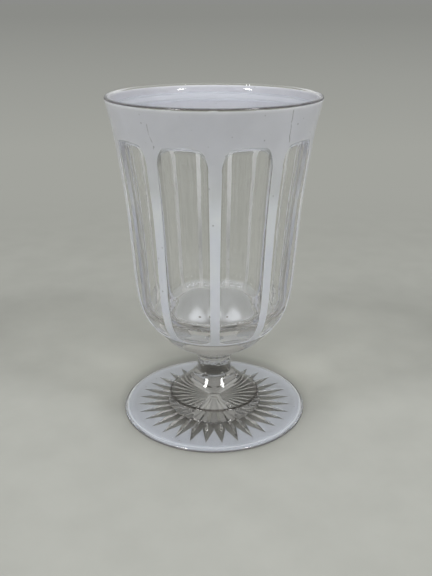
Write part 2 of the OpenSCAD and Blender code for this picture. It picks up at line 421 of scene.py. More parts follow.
def finishPiece(piece, material, nodes, angle=30):
    deselectAll()
    piece.select_set(True)
    bpy.context.view_layer.objects.active = piece
    bpy.ops.object.shade_smooth_by_angle(angle=math.radians(angle))
    piece.data.materials.clear()
    piece.data.materials.append(material)
    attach(piece, "root")
    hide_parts(*nodes)
    return piece


# Outline of the bowl. Stations are shares of the rim's radius and of the bowl's height.
bowl = {
    "stations": [
        (0.370, 0.032), (0.511, 0.072), (0.645, 0.134), (0.738, 0.200), (0.789, 0.295),
        (0.820, 0.457), (0.852, 0.618), (0.901, 0.771), (0.938, 0.880),
    ],
    "spanSteps": 12,
    "lipThickness": 1.6 * mm,
    "thinHeight": 7 * mm,  # over which the wall thins to the lip
    "wallTop": 2.6 * mm,
    "wall": 3.4 * mm,
    "floorThickness": 19 * mm,
    "cornerHeight": 14 * mm,
    "cornerPower": 0.4,
    "cornerSteps": 36,
    "lipSteps": 14,
    "turnSteps": 240,
    "levelGap": 0.1 * mm,  # least distance between two heights of a line
    "cavityGap": 0.5 * mm,
}
bowlHeight = size["rimTop"] - size["collarTop"]
lipRadius = bowl["lipThickness"] / 2
lipHeight = size["rimTop"] - lipRadius
cavityFloor = size["collarTop"] + bowl["floorThickness"]
cornerTop = cavityFloor + bowl["cornerHeight"]
bowlLine = smoothLine(
    [(size["collarRadius"], 0, size["collarTop"])]
    + [(r * size["rimRadius"], 0, size["collarTop"] + z * bowlHeight) for r, z in bowl["stations"]]
    + [(size["rimRadius"], 0, lipHeight)],
    bowl["spanSteps"],
)


def bowlRadius(height):
    for a, b in zip(bowlLine, bowlLine[1:]):
        if height <= b.z:
            return a.x + (b.x - a.x) * (height - a.z) / (b.z - a.z)
    return bowlLine[-1].x


def wallAt(height):  # the wall thins evenly upwards from the cavity's corner, and quickly just under the lip
    share = (height - cornerTop) / (lipHeight - cornerTop)
    nearLip = max(0.0, 1 - (lipHeight - height) / bowl["thinHeight"])
    even = bowl["wall"] + (bowl["wallTop"] - bowl["wall"]) * share
    return even + (bowl["lipThickness"] - bowl["wallTop"]) * nearLip ** 2


def bowlLevels(low, high):  # heights of the bowl's line well between two heights
    return [p.z for p in bowlLine if low + bowl["levelGap"] < p.z < high - bowl["levelGap"]]


def bowlSide(low, high, inset):  # the bowl's outside between two heights, drawn in by the inset
    return [Vector((bowlRadius(z) - inset, 0, z)) for z in [low] + bowlLevels(low, high) + [high]]


def lipLine():
    middle = Vector((size["rimRadius"] - lipRadius, 0, lipHeight))
    angles = [turn / 2 * i / bowl["lipSteps"] for i in range(bowl["lipSteps"] + 1)]
    return [middle + lipRadius * Vector((math.cos(a), 0, math.sin(a))) for a in angles]


def cavityLine():  # from the lip down to the middle of the cavity's floor
    wall = [
        Vector((bowlRadius(z) - wallAt(z), 0, z))
        for z in reversed(bowlLevels(cornerTop + bowl["cavityGap"], lipHeight - bowl["cavityGap"]))
    ]
    cornerRadius = bowlRadius(cornerTop) - wallAt(cornerTop)
    corner = []
    for i in range(bowl["cornerSteps"], -1, -1):
        a = turn / 4 * i / bowl["cornerSteps"]
        across = max(0.0, math.sin(a)) ** bowl["cornerPower"]
        down = max(0.0, math.cos(a)) ** bowl["cornerPower"]
        corner.append(Vector((cornerRadius * across, 0, cornerTop - bowl["cornerHeight"] * down)))
    return wall + corner


# Opal casing of the bowl and the flutes cut through it
casing = {
    "thickness": 0.35 * mm,
    "bedded": 0.02 * mm,  # how far the opal reaches into the clear glass, so that no air shows between
}
flutes = {
    "count": 10,
    "lean": 0.8,  # degrees by which the cutter missed the middle
    "lowStart": 13.8 * mm,  # above the collar, where the flutes end below
    "band": 13.6 * mm,  # from the lip down to the top of the arches
    "ribLow": 3.4 * mm,
    "ribHigh": 5 * mm,
    "ribPower": 2.5,  # a rib widens mostly near its top
    "bite": 0.1 * mm,  # depth of the cut in the clear glass beside a rib
    "ledge": 0.55 * mm,
    "scoop": 4 * mm,
    "toe": 4 * mm,
    "rise": 1.2 * mm,
    "shoulderAcross": 3.2 * mm,  # an arch's corners are drawn out downwards
    "shoulderDown": 7 * mm,
    "front": (5, 6, 1.0),  # first flute, how many, and their width as a share of an even one
    "back": (1, 4, 1.03),  # ground a little wider, which leaves thinner ribs
    "rows": 90,
    "archSteps": 24,
}


cutLow = size["collarTop"] + flutes["lowStart"]
cutHigh = size["rimTop"] - flutes["band"]


def ribWidth(height):
    share = (height - cutLow) / (cutHigh - cutLow)
    return flutes["ribLow"] + (flutes["ribHigh"] - flutes["ribLow"]) * max(0.0, share) ** flutes["ribPower"]


def fluteHalf(height):
    return bowlRadius(height) * math.sin(turn / 2 / flutes["count"]) - ribWidth(height) / 2


def faceRadius(height):  # distance of a flute's face from the axis: it scoops outwards at both ends
    edge = bowlRadius(height) - casing["thickness"] - flutes["bite"]
    deep = math.sqrt(edge ** 2 - fluteHalf(height) ** 2)
    share = max(0.0, 1 - (cutHigh - height) / flutes["scoop"], 1 - (height - cutLow) / flutes["toe"])
    return deep + (bowlRadius(height) - flutes["ledge"] - deep) * share ** 3


def archLine():  # the top of a flute's window, from its right corner to its left one
    half = fluteHalf(cutHigh)
    across = flutes["shoulderAcross"]
    line = []
    for i in range(flutes["archSteps"] + 1):
        u = math.cos(turn / 2 * i / flutes["archSteps"])
        into = max(0.0, abs(u) * half - (half - across)) / across
        drop = flutes["shoulderDown"] * (1 - math.sqrt(max(0.0, 1 - into ** 2)))
        line.append(Vector((0, u * half, cutHigh - flutes["rise"] * u * u - drop)))
    return line


def makeFluteTool(first, count, wider):  # some neighbouring flutes as one tool
    reach = size["rimRadius"] + mm
    step = (cutHigh - cutLow) / flutes["rows"]
    rows = [cutLow + step * i for i in range(flutes["rows"] + 1)]
    beside = -reach / 3
    side = [Vector((faceRadius(z), beside, z)) for z in rows]
    side += [Vector((reach, beside, rows[-1])), Vector((reach, beside, rows[0])), side[0]]
    tool = drawOut(drawLine("fluteTool", side), Vector((0, -2 * beside, 0)))
    arch = archLine()
    straight = [z for z in rows if z < arch[0].z - step / 2]
    outline = [Vector((0, fluteHalf(z), z)) for z in straight] + arch
    outline += [Vector((0, -fluteHalf(z), z)) for z in reversed(straight)]
    window = drawOut(drawLine("fluteWindow", outline + outline[:1]), Vector((reach + mm, 0, 0)))
    carve(tool, window, "INTERSECT")
    throwAway(window)
    apart = 360 / flutes["count"]
    openPiece(tool)
    bpy.ops.transform.resize(value=(1, wider, 1), center_override=(0, 0, 0))
    bpy.ops.transform.rotate(
        value=-math.radians(flutes["lean"] + first * apart), orient_axis="Z", center_override=(0, 0, 0)
    )
    bpy.ops.mesh.spin(
        steps=count - 1,
        dupli=True,
        angle=math.radians(apart * (count - 1)),
        center=(0, 0, 0),
        axis=(0, 0, -1),  # the same way round as transform.rotate turns
    )
    return closePiece(tool)


# Star of the foot
star = {
    "rays": 32,
    "margin": 1.5 * mm,  # of opal between the tips of the rays and the clear edge
    "rayLength": 10.3 * mm,  # outside the circle where neighbouring rays meet
    "angle": 130,  # degrees between the flanks of a groove
    "deep": 1.7 * mm,
    "bendShare": 0.95,  # of the meeting radius, where a groove's floor bends
    "innerShare": 0.6,  # of the polished hollow's radius, where the grooves end
    "hollowAcross": 6.4 * mm,
    "hollowDeep": 1.9 * mm,
    "hollowSteps": 96,
    "under": 0.3 * mm,  # how far the tool reaches under the foot
}


starTip = size["soleRadius"] - star["margin"]


def starRings():  # radius and height of the grooves, then of the ridges, from the tips inwards
    half = turn / 2 / star["rays"]
    side = math.tan(half)
    fall = 1 / math.tan(math.radians(star["angle"]) / 2)
    tip = starTip
    meet = (tip - star["rayLength"]) * math.cos(half)
    slope = fall * meet * side / (tip - meet)
    bend = star["bendShare"] * meet
    bendHeight = slope * (tip - bend)
    inner = star["innerShare"] * star["hollowAcross"] / 2
    under = star["under"]
    lowMeet = (slope * tip + under) / (slope + fall * side)
    return [
        (tip + under / slope, -under, lowMeet / math.cos(half), -under),
        (bend, bendHeight, bend / math.cos(half), bendHeight - fall * bend * side),
        (inner, star["deep"], inner / math.cos(half), star["deep"] - fall * inner * side),
        (inner, -under, inner / math.cos(half), -under),
    ]


def makeStarTool():  # a ring of corners, drawn up and in, with every second one on a groove
    count = 2 * star["rays"]
    deselectAll()
    bpy.ops.mesh.primitive_circle_add(vertices=count, radius=starTip, fill_type="NOTHING")
    tool = bpy.context.object
    tool.name = "starTool"
    openPiece(tool)
    last = (starTip, 0, starTip, 0)
    for number, ring in enumerate(starRings()):
        if number:
            selectWhere(tool, lambda corner: corner.index >= count * (number - 1))
            bpy.ops.mesh.extrude_region_move(TRANSFORM_OT_translate={"value": (0, 0, 0)})
        for odd in (1, 0):
            radius, height, oldRadius, oldHeight = (
                (ring[0], ring[1], last[0], last[1]) if odd else (ring[2], ring[3], last[2], last[3])
            )
            selectWhere(
                tool,
                lambda corner: corner.index >= count * number
                and round(math.atan2(corner.co.y, corner.co.x) / turn * count) % 2 == odd,
            )
            grow = radius / oldRadius
            bpy.ops.transform.resize(value=(grow, grow, 1), center_override=(0, 0, 0))
            bpy.ops.transform.translate(value=(0, 0, height - oldHeight))
        last = ring
    selectWhere(tool, lambda corner: corner.index < count or corner.index >= 3 * count)
    bpy.ops.mesh.bridge_edge_loops()
    bpy.ops.mesh.select_all(action="SELECT")
    bpy.ops.mesh.normals_make_consistent(inside=False)
    return closePiece(tool)


def makeHollowTool():  # ball that grinds the polished hollow in the middle of the star
    half = star["hollowAcross"] / 2
    ball = (half ** 2 + star["hollowDeep"] ** 2) / (2 * star["hollowDeep"])
    deselectAll()
    bpy.ops.mesh.primitive_uv_sphere_add(
        radius=ball,
        segments=star["hollowSteps"],
        ring_count=star["hollowSteps"] // 2,
        location=(0, 0, star["hollowDeep"] - ball),
    )
    tool = bpy.context.object
    bpy.ops.object.transform_apply(location=True, rotation=False, scale=False)
    return tool


# Foot, pad, stem and collar, up to the bowl
foot = {
    "thickness": 2.1 * mm,  # near the edge
    "edgeWidth": 3 * mm,
    "roll": [(0.25, 0.12), (0, 0.42), (0.35, 0.78)],  # shares of the clear edge's width and of the thickness
    "rollSteps": 6,
}
pad = {
    "edgeHeight": 5.1 * mm,
    "edge": [(1.000, 0), (0.976, 0.80), (0.966, 0.96)],  # shares of the pad's radius and of the edge's height
    "shoulder": 0.8 * mm,
    # the cone up to the stem, hollow by a little: shares of the way out, and of its height
    "cone": [(1, 0), (0.66, 0.315), (0.33, 0.63), (0.12, 0.865), (0, 1)],
    "coneSteps": 10,
    "footRound": 0.9 * mm,  # radii of the corners, from the foot up
    "edgeRound": 0.35 * mm,
    "shoulderRound": 0.3 * mm,
}
stem = {
    "radius": 7.2 * mm,
    "stations": [(1.030, 0), (1.000, 0.35), (1.000, 1)],
    "collar": [(0.970, 0.18), (1.000, 0.40), (0.970, 0.75), (1.000, 1.00)],
    "spanSteps": 8,
    "seatRound": 1.4 * mm,  # where the stem runs out into the pad
    "seatSteps": 8,
    "topRound": 0.3 * mm,
    "collarRound": 0.25 * mm,
}


def footLine():  # from the middle of the underside to the pad
    clearEdge = size["footRadius"] - size["soleRadius"]
    roll = [(size["soleRadius"], 0, 0)]
    roll += [(size["footRadius"] - r * clearEdge, 0, z * foot["thickness"]) for r, z in foot["roll"]]
    roll += [(size["footRadius"] - foot["edgeWidth"], 0, foot["thickness"])]
    line = [Vector((0, 0, size["soleTop"])), Vector((size["soleRadius"], 0, size["soleTop"]))]
    return line + smoothLine(roll, foot["rollSteps"])


def padLine():
    edgeTop = size["footTop"] + pad["edgeHeight"]
    coneRadius = pad["edge"][2][0] * size["padRadius"] - pad["shoulder"]
    seatRadius = stem["stations"][0][0] * stem["radius"]
    across = coneRadius - seatRadius
    high = size["padTop"] - edgeTop
    edge = [(r * size["padRadius"], 0, size["footTop"] + z * pad["edgeHeight"]) for r, z in pad["edge"]]
    cone = [(seatRadius + r * across, 0, edgeTop + z * high) for r, z in pad["cone"]]
    return [Vector(place) for place in edge] + smoothLine(cone, pad["coneSteps"])


def stemLine():  # stem and collar, without the stem's seat on the pad
    stemHeight = size["stemTop"] - size["padTop"]
    collarHeight = size["collarTop"] - size["stemTop"]
    stations = [(r * stem["radius"], 0, size["padTop"] + z * stemHeight) for r, z in stem["stations"]]
    collar = [(stem["radius"], 0, size["stemTop"])]
    collar += [(r * size["collarRadius"], 0, size["stemTop"] + z * collarHeight) for r, z in stem["collar"]]
    return smoothLine(stations, stem["spanSteps"])[1:-1] + smoothLine(collar, stem["spanSteps"])[:-1]


def makeClearGlass(fluteTools, starTool, hollowTool):
    outline = footLine() + padLine() + stemLine()
    outline += bowlSide(size["collarTop"], size["opalLow"], 0)
    outline += bowlSide(size["opalLow"], size["opalHigh"], casing["thickness"])
    outline += [Vector((bowlRadius(size["opalHigh"]), 0, size["opalHigh"]))]
    outline += lipLine() + cavityLine()
    piece = drawLine("clearGlass", outline)
    padEdge = pad["edge"][2][0] * size["padRadius"]
    edgeTop = size["footTop"] + pad["edgeHeight"]
    ringTop = size["footTop"] + pad["edge"][2][1] * pad["edgeHeight"]
    seatRadius = stem["stations"][0][0] * stem["radius"]
    roundCorner(piece, size["padRadius"], size["footTop"], pad["footRound"])
    roundCorner(piece, padEdge, ringTop, pad["edgeRound"])
    roundCorner(piece, padEdge - pad["shoulder"], edgeTop, pad["shoulderRound"])
    roundCorner(piece, seatRadius, size["padTop"], stem["seatRound"], stem["seatSteps"])
    roundCorner(piece, stem["radius"], size["stemTop"], stem["topRound"])
    roundCorner(piece, size["collarRadius"], size["collarTop"], stem["collarRound"])
    spinLine(piece, bowl["turnSteps"])
    for tool in (*fluteTools, starTool, hollowTool):
        carve(piece, tool)
    return piece


def makeBowlOpal(fluteTools):
    low = size["opalLow"] - casing["bedded"]
    high = size["opalHigh"] + casing["bedded"]
    outline = bowlSide(low, high, 0)
    outline += list(reversed(bowlSide(low, high, casing["thickness"] + casing["bedded"])))
    piece = drawLine("bowlOpal", outline + outline[:1])
    spinLine(piece, bowl["turnSteps"])
    for tool in fluteTools:
        carve(piece, tool)
    return piece


def makeFootOpal(starTool, hollowTool):
    high = size["soleTop"] + casing["bedded"]
    radius = size["soleRadius"] + casing["bedded"]
    outline = [(0, 0, 0), (radius, 0, 0), (radius, 0, high), (0, 0, high)]
    piece = drawLine("footOpal", outline)
    spinLine(piece, bowl["turnSteps"])
    carve(piece, starTool)
    return carve(piece, hollowTool)


def placeOn(tree):  # the place on the goblet, its distance from the axis, and its three coordinates
    place = addNode(tree, "ShaderNodeTexCoord").outputs["Object"]
    axes = addNode(tree, "ShaderNodeSeparateXYZ", {"Vector": place})
    flat = addNode(tree, "ShaderNodeVectorMath", {0: place, 1: (1, 1, 0)}, operation="MULTIPLY")
    out = addNode(tree, "ShaderNodeVectorMath", {0: flat.outputs[0]}, operation="LENGTH")
    return place, out.outputs["Value"], axes.outputs["X"], axes.outputs["Y"], axes.outputs["Z"]


def fluteEdge(tree, out, x, y, z):  # how far inside a front flute's outline a place on its face is
    apart = turn / flutes["count"]
    start = flutes["count"] + 0.5 - math.radians(flutes["lean"]) / apart
    around = addNode(tree, "ShaderNodeMath", {0: y, 1: x}, operation="ARCTAN2")
    for kind, inputs in (  # the angle from the middle of the nearest flute, and how far aside that is
        ("MULTIPLY_ADD", {1: 1 / apart, 2: start}),
        ("FRACT", {}),
        ("MULTIPLY_ADD", {1: apart, 2: -apart / 2}),
        ("SINE", {}),
        ("ABSOLUTE", {}),
    ):
        around = addNode(tree, "ShaderNodeMath", {0: around.outputs[0], **inputs}, operation=kind)
    across = every(tree, out, around.outputs[0])
    share = rise(tree, z, cutLow, cutHigh)
    grown = addNode(tree, "ShaderNodeMath", {0: share, 1: flutes["ribPower"]}, operation="POWER").outputs[0]
    ribHalf = addNode(
        tree,
        "ShaderNodeMath",
        {0: grown, 1: (flutes["ribHigh"] - flutes["ribLow"]) / 2, 2: flutes["ribLow"] / 2},
        operation="MULTIPLY_ADD",
    )
    even = math.sin(apart / 2)  # half of an even flute's width, as a share of the radius
    half = addNode(
        tree,
        "ShaderNodeMath",
        {0: out, 1: even, 2: even * (casing["thickness"] + flutes["bite"])},
        operation="MULTIPLY_ADD",
    )
    face = addNode(tree, "ShaderNodeMath", {0: half.outputs[0], 1: ribHalf.outputs[0]}, operation="SUBTRACT")
    beside = addNode(tree, "ShaderNodeMath", {0: face.outputs[0], 1: across}, operation="SUBTRACT")
    top = fluteHalf(cutHigh)
    down = flutes["shoulderDown"]
    into = rise(tree, across, top - flutes["shoulderAcross"], top)
    arch = addNode(tree, "ShaderNodeMath", {0: 1.0, 1: every(tree, into, into)}, operation="SUBTRACT")
    for kind, inputs in (  # the height of the arch there, less how high the place is
        ("SQRT", {}),
        ("MULTIPLY_ADD", {1: down, 2: cutHigh - down}),
        ("ADD", {1: every(tree, across, across, -flutes["rise"] / top ** 2)}),
        ("SUBTRACT", {1: z}),
        ("MINIMUM", {1: beside.outputs[0]}),
    ):
        arch = addNode(tree, "ShaderNodeMath", {0: arch.outputs[0], **inputs}, operation=kind)
    return arch.outputs[0]


edges = {  # painted dark lines along edges and joints, standing in for the dark of the room seen in the glass: how dark each is, and where it runs
    "soft": 0.1 * mm,
    "lipIn": (0.9 * mm, 0.7 * mm),  # inwards from the rim
    "lipDown": (0.7 * mm, 0.2 * mm),  # below it
    "lipFront": (12 * mm, -8 * mm),  # from back to front, over which the painted line comes in
    "footIn": (1.1 * mm, 0.8 * mm),
    "footUp": (1.5 * mm, 1.2 * mm),
    "padDown": 0.5 * mm,
    "padSideDark": 0.55,
    "jointDark": 0.7,
    "stemJoint": (-0.1 * mm, 0.35 * mm),  # round the top of the stem
    "collarJoint": (-0.2 * mm, 0.2 * mm),
    "seatJoint": (-0.2 * mm, 1 * mm),
    "seatDark": 0.2,
    "underDark": 0.9,  # on the clear bottom of the bowl
    "underOpal": (-0.6 * mm, -0.1 * mm),
    "underInner": (-7 * mm, -3 * mm),
    "underInnerDark": 0.35,
    "underCollar": (1.5 * mm, 2.5 * mm),
    "windowWide": (0.4 * mm, 0.3 * mm),  # round a flute's window
    "windowOut": (27 * mm, 27.5 * mm),  # outside the cavity
    "windowFront": (0, -3 * mm),
    "windowHigh": (2 * mm, 0),  # from the low and the high end of the cut
    "windowDark": 0.2,
    "archReach": (8 * mm, 4 * mm),  # below the arches, from where the line grows darker
    "archDark": 0.6,
    "streakShare": (0.5, 0.7),
    "streaksDark": 0.07,
}


def paintedDarkLines(tree, out, x, y, z, streaks):  # painted dark along edges and joints, where glass would show the dark of the room, with faint streaks in the glass
    soft = edges["soft"]
    lip = every(
        tree,
        rise(tree, y, *edges["lipFront"]),
        rise(tree, out, *(size["rimRadius"] - inwards for inwards in edges["lipIn"])),
        band(tree, z, *(size["rimTop"] - down for down in edges["lipDown"]), 0.7 * soft),
    )
    footEdge = every(
        tree,
        rise(tree, out, *(size["footRadius"] - inwards for inwards in edges["footIn"])),
        rise(tree, z, *edges["footUp"]),
    )
    padEdge = pad["edge"][2][0] * size["padRadius"]
    edgeTop = size["footTop"] + pad["edgeHeight"]
    shoulder = every(
        tree,
        band(tree, out, padEdge - pad["shoulder"] - soft, padEdge + soft, soft),
        band(tree, z, edgeTop - edges["padDown"], edgeTop + soft, soft),
    )
    padSide = every(
        tree,
        band(tree, out, padEdge - 3 * soft, size["padRadius"] + 3 * soft, soft),
        band(tree, z, size["footTop"], edgeTop - edges["padDown"], soft),
        edges["padSideDark"],
    )
    at = {
        name: [size[level] + up for up in edges[name]]
        for name, level in (
            ("stemJoint", "stemTop"),
            ("collarJoint", "collarTop"),
            ("seatJoint", "padTop"),
            ("underOpal", "opalLow"),
            ("underInner", "opalLow"),
            ("underCollar", "collarTop"),
        )
    }
    joints = every(
        tree,
        rise(tree, out, size["collarRadius"] + 3 * soft, size["collarRadius"] + soft),
        largest(
            tree,
            band(tree, z, *at["stemJoint"], soft),
            band(tree, z, *at["collarJoint"], soft),
            every(tree, band(tree, z, *at["seatJoint"], 4 * soft), edges["seatDark"]),
        ),
        edges["jointDark"],
    )
    under = every(
        tree,
        rise(tree, out, size["collarRadius"] + 5 * soft, size["collarRadius"] + 10 * soft),
        largest(
            tree,
            band(tree, z, *at["underOpal"], 1.5 * soft),
            every(tree, band(tree, z, *at["underInner"], 7 * soft), edges["underInnerDark"]),
            band(tree, z, *at["underCollar"], 3 * soft),
        ),
        edges["underDark"],
    )
    nearArch = rise(tree, z, *(cutHigh - down for down in edges["archReach"]))
    strength = addNode(
        tree,
        "ShaderNodeMath",
        {0: nearArch, 1: edges["archDark"], 2: edges["windowDark"]},
        operation="MULTIPLY_ADD",
    )
    window = every(
        tree,
        rise(tree, y, *edges["windowFront"]),
        band(tree, z, cutLow + edges["windowHigh"][0], cutHigh + edges["windowHigh"][1], mm),
        rise(tree, fluteEdge(tree, out, x, y, z), *edges["windowWide"]),
        rise(tree, out, *edges["windowOut"]),
        strength.outputs[0],
    )
    drawn = every(tree, rise(tree, streaks, *edges["streakShare"]), edges["streaksDark"])
    return largest(tree, lip, footEdge, shoulder, joints, under, padSide, window, drawn)


crystal = {
    "soft": 0.1 * mm,
    "index": 1.53,  # between soda glass and full lead crystal
    "lightAndShadeTones": [(0.0, "#fefefe"), (1.0, "#605955")],  # clear glass, and painted dark where glass would show the dark of the room
    "milk": "#f1f4fb",
    "milkFull": 0.2,  # share of scattered light at which the milk's own colour is full
    "floorReach": 21 * mm,  # radius of the cavity's flat floor, hazed by spoons and washing
    "cornerReach": 26.5 * mm,
    "cornerHigh": 9 * mm,
    "floorRoughness": 0.3,
    "haze": 0.22,
    "lampImages": [(-5.2 * mm, -6 * mm), (6.4 * mm, -6 * mm)],  # painted white reflections of the two lamps
    "lampImageReach": (6.5 * mm, 3.5 * mm),
    "lampImageWhite": 0.65,
    "lampImageSpecks": [(-3.7 * mm, -5.8 * mm), (2.6 * mm, -5.4 * mm)],  # painted dark specks in those reflections, where the lamps' heads show
    "lampSpeckReach": (1 * mm, 0.6 * mm),
    "spotSqueeze": (1, 0.55, 1),  # both are longer from front to back than across
    "chipRing": (21.5 * mm, 26 * mm),  # small chips where the floor turns up into the wall, painted white as glints
    "chipHigh": (0.1 * mm, 3 * mm),
    "chipAcross": 13.5 * mm,
    "chipShare": (0.55, 0.565),
    "rollHighlightIn": (1.9 * mm, 1 * mm),  # painted highlight along the top of the foot's edge
    "rollHighlightUp": (1 * mm, 1.5 * mm),
    "rollHighlight": 0.55,
    "toeOut": (23 * mm, 24 * mm),  # the low ends of the flutes are less well polished
    "toeUp": (0.5 * mm, 5 * mm),
    "toeHaze": 0.22,
    "cornerHaze": 0.07,
    "grooveShade": 0.75,  # painted shade in the star's grooves, less so outside the pad and in the middle
    "groovePaler": [(20 * mm, 25 * mm, 0.22), (8 * mm, 4 * mm, 0.5)],
    "seatHigh": (20 * mm, 26 * mm),  # where the stem stands on the pad, pressed while it was soft
    "seatOut": (12 * mm, 10 * mm),
    # noise by the size of its grain, its detail, and whether it is drawn out along the goblet. Streaks and
    # chips are finer on the real glass, and are drawn as coarse as they need to show.
    "grains": {
        "streaks": (0.8 * mm, 2, True),
        "chips": (0.8 * mm, 2, False),
        "pocks": (1.4 * mm, 1, False),
        "pulls": (2.2 * mm, 2, True),
        "sag": (14 * mm, 1, False),
    },
    "drawnOut": (1, 1, 0.05),
    "pullDeep": 0.02 * mm,
    "sagDeep": 0.1 * mm,
    "pockDeep": 0.35 * mm,
    "lampTint": "#fcfcfa",  # of a lamp's light through clear glass
    "lampStar": "#2a2a29",  # and through the star
    "smokeColour": (0.5, 0.46, 0.4),
    "smokeDensity": 9,  # per metre
}


def clearCrystal():  # lead crystal, blown, then polished where it was cut: bright, with a faint smoky cast, and painted dark lines, lamp reflections and highlights
    material, tree = newMaterial("clearCrystal")
    place, out, x, y, z = placeOn(tree)
    soft = crystal["soft"]
    along = addNode(tree, "ShaderNodeMapping", {"Vector": place, "Scale": crystal["drawnOut"]})
    grains = {}
    for name, (across, detail, drawn) in crystal["grains"].items():
        vector = along.outputs["Vector"] if drawn else place
        inputs = {"Vector": vector, "Scale": 1 / across, "Detail": detail}
        grains[name] = addNode(tree, "ShaderNodeTexNoise", inputs).outputs["Fac"]
    cavity = every(
        tree,
        rise(tree, z, cavityFloor - 10 * soft, cavityFloor - 5 * soft),
        rise(tree, z, cavityFloor + crystal["cornerHigh"], cavityFloor + crystal["cornerHigh"] / 2),
        rise(tree, out, crystal["cornerReach"] + 5 * soft, crystal["cornerReach"]),
    )
    flat = crystal["floorReach"]
    worn = every(tree, cavity, rise(tree, out, flat + 10 * soft, flat - 10 * soft))
    corner = addNode(tree, "ShaderNodeMath", {0: cavity, 1: worn}, operation="SUBTRACT").outputs[0]
    # painted reflections of the two lamps on the cavity's floor, with dark specks in them
    spots = {}
    for name, reach in (("lampImages", crystal["lampImageReach"]), ("lampImageSpecks", crystal["lampSpeckReach"])):
        masks = []
        for middle in crystal[name]:
            away = place
            for kind, by in (
                ("SUBTRACT", {1: (*middle, cavityFloor)}),
                ("MULTIPLY", {1: crystal["spotSqueeze"]}),
                ("LENGTH", {}),
            ):
                step = addNode(tree, "ShaderNodeVectorMath", {0: away, **by}, operation=kind)
                away = step.outputs["Value" if kind == "LENGTH" else "Vector"]
            masks.append(rise(tree, away, *reach))
        spots[name] = every(tree, largest(tree, *masks), worn)
    aside = addNode(tree, "ShaderNodeMath", {0: x}, operation="ABSOLUTE").outputs[0]
    # painted glints, as of small chips, at the cavity's corner
    chips = every(
        tree,
        band(tree, out, *crystal["chipRing"], 4 * soft),
        band(tree, z, *(cavityFloor + up for up in crystal["chipHigh"]), soft),
        rise(tree, aside, crystal["chipAcross"] + 10 * soft, crystal["chipAcross"] - 10 * soft),
        rise(tree, grains["chips"], *crystal["chipShare"]),
    )
    toe = every(
        tree,
        rise(tree, out, *crystal["toeOut"]),
        band(tree, z, *(cutLow + up for up in crystal["toeUp"]), 5 * soft),
        crystal["toeHaze"],
    )
    # painted highlight along the top of the foot's rolled edge
    roll = every(
        tree,
        band(tree, out, *(size["footRadius"] - inwards for inwards in crystal["rollHighlightIn"]), 3 * soft),
        rise(tree, z, *crystal["rollHighlightUp"]),
        crystal["rollHighlight"],
    )
    hazeAndLampImages = addNode(
        tree,
        "ShaderNodeMath",
        {0: spots["lampImages"], 1: crystal["lampImageWhite"], 2: every(tree, worn, crystal["haze"])},
        operation="MULTIPLY_ADD",
    )
    # worn haze on the cavity's floor, with painted lamp reflections, glints and highlights
    hazeAndHighlights = largest(tree, hazeAndLampImages.outputs[0], chips, toe, roll, every(tree, corner, crystal["cornerHaze"]))
    # painted shade in the star's grooves, where they show the dark under the foot
    grooves = every(
        tree,
        rise(tree, out, starTip + 10 * soft, starTip),
        rise(tree, z, star["hollowDeep"] + soft, star["hollowDeep"]),
    )
    paler = [every(tree, rise(tree, out, low, high), share) for low, high, share in crystal["groovePaler"]]
    grooveShading = addNode(
        tree, "ShaderNodeMath", {0: crystal["grooveShade"], 1: largest(tree, *paler)}, operation="SUBTRACT"
    )
    # painted dark reflections along edges and joints
    lines = paintedDarkLines(tree, out, x, y, z, grains["streaks"])
    dark = largest(tree, lines, spots["lampImageSpecks"], every(tree, grooves, grooveShading.outputs[0]))
    tone = setStops(addNode(tree, "ShaderNodeValToRGB", {"Fac": dark}), crystal["lightAndShadeTones"])
    white = rise(tree, hazeAndHighlights, 0.0, crystal["milkFull"])
    milky = addNode(tree, "ShaderNodeMath", {0: white, 1: spots["lampImageSpecks"]}, operation="SUBTRACT")
    colour = addNode(
        tree,
        "ShaderNodeMix",
        {0: milky.outputs[0], 6: tone, 7: (*toLinear(crystal["milk"]), 1)},
        data_type="RGBA",
    )
    clear = addNode(tree, "ShaderNodeMath", {0: 1.0, 1: hazeAndHighlights}, operation="SUBTRACT")
    seat = every(tree, band(tree, z, *crystal["seatHigh"], 10 * soft), rise(tree, out, *crystal["seatOut"]))
    pocks = every(tree, grains["pocks"], largest(tree, corner, seat))
    bumps = {}
    for height, deep in (
        (grains["pulls"], crystal["pullDeep"]),
        (grains["sag"], crystal["sagDeep"]),
        (pocks, crystal["pockDeep"]),
    ):
        bump = addNode(tree, "ShaderNodeBump", {"Strength": 1.0, "Distance": deep, "Height": height, **bumps})
        bumps = {"Normal": bump.outputs["Normal"]}
    glass = addNode(
        tree,
        "ShaderNodeBsdfPrincipled",
        {
            "IOR": crystal["index"],
            "Base Color": colour.outputs[2],
            "Roughness": every(tree, worn, crystal["floorRoughness"]),
            "Transmission Weight": clear.outputs[0],
            **bumps,
        },
    )
    passed = addNode(
        tree,
        "ShaderNodeMix",
        {0: grooves, 6: (*toLinear(crystal["lampTint"]), 1), 7: (*toLinear(crystal["lampStar"]), 1)},
        data_type="RGBA",
    )
    lampPath = addNode(tree, "ShaderNodeBsdfTransparent", {"Color": passed.outputs[2]})
    ray = addNode(tree, "ShaderNodeLightPath")
    mix = addNode(
        tree,
        "ShaderNodeMixShader",
        {0: ray.outputs["Is Shadow Ray"], 1: glass.outputs["BSDF"], 2: lampPath.outputs[0]},
    )
    depth = addNode(
        tree,
        "ShaderNodeVolumeAbsorption",
        {"Color": (*crystal["smokeColour"], 1), "Density": crystal["smokeDensity"]},
    )
    addNode(tree, "ShaderNodeOutputMaterial", {"Surface": mix.outputs[0], "Volume": depth.outputs["Volume"]})
    return material


